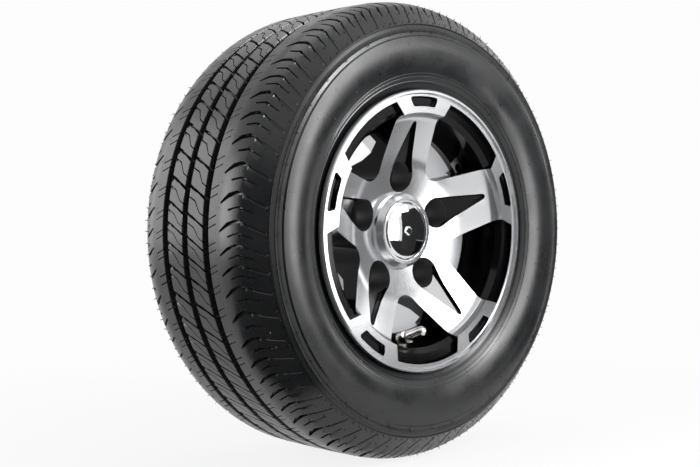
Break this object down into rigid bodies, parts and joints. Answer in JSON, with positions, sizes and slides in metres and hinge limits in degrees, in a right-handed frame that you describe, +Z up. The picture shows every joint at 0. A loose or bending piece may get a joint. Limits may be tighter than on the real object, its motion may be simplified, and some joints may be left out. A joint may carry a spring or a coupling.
{
  "type": "trailer wheel and tyre assembly",
  "caption": "Small trailer wheel: cast aluminium rim with machined spokes over black recesses, tubeless low-profile tyre, bright centre cap and a metal clamp-in valve.",
  "frame": {"origin": "centre of the wheel, on the axle line midway between the two sidewalls", "axes": "Y along the axle with the street side at -Y and the hub side at +Y, Z up, X to the right seen from the street"},
  "size_m": [0.4684, 0.196, 0.4684],
  "materials": {
    "tread_rubber": "satin black rubber",
    "cast_aluminium": "machined bright on the face, gloss black in the recesses",
    "bright_chrome": "mirror",
    "plated_brass": "nickel plated",
    "brass": "turned",
    "spring_steel": "drawn wire",
    "seal_rubber": "matt",
    "seal_plastic": "matt"
  },
  "bodies": {
    "wheel": {"tyre": "tread_rubber", "rim": "cast_aluminium", "centre_cap": "bright_chrome", "cap_spring_ring": "spring_steel", "valve_stem": "plated_brass", "valve_grommet": "seal_rubber", "valve_washer": "plated_brass", "valve_nut": "plated_brass", "valve_core": "brass", "core_seal": "seal_plastic", "core_spring": "spring_steel"},
    "valve_cap": {"valve_cap": "plated_brass", "valve_cap_seal": "seal_rubber"},
    "core_pin": {"core_pin": "brass", "pin_seal": "seal_rubber"}
  },
  "joints": [
    {"name": "valve_cap_off", "type": "slide", "parent": "wheel", "child": "valve_cap", "axis": [-0.0094, -0.9336, 0.3582], "range_m": [0, 0.02]},
    {"name": "core_pin_press", "type": "slide", "parent": "wheel", "child": "core_pin", "axis": [0.0094, 0.9336, -0.3582], "range_m": [0, 0.0012], "stiffness_N_per_m": 800, "springref_m": -0.001, "deforming": ["core_spring"]}
  ]
}
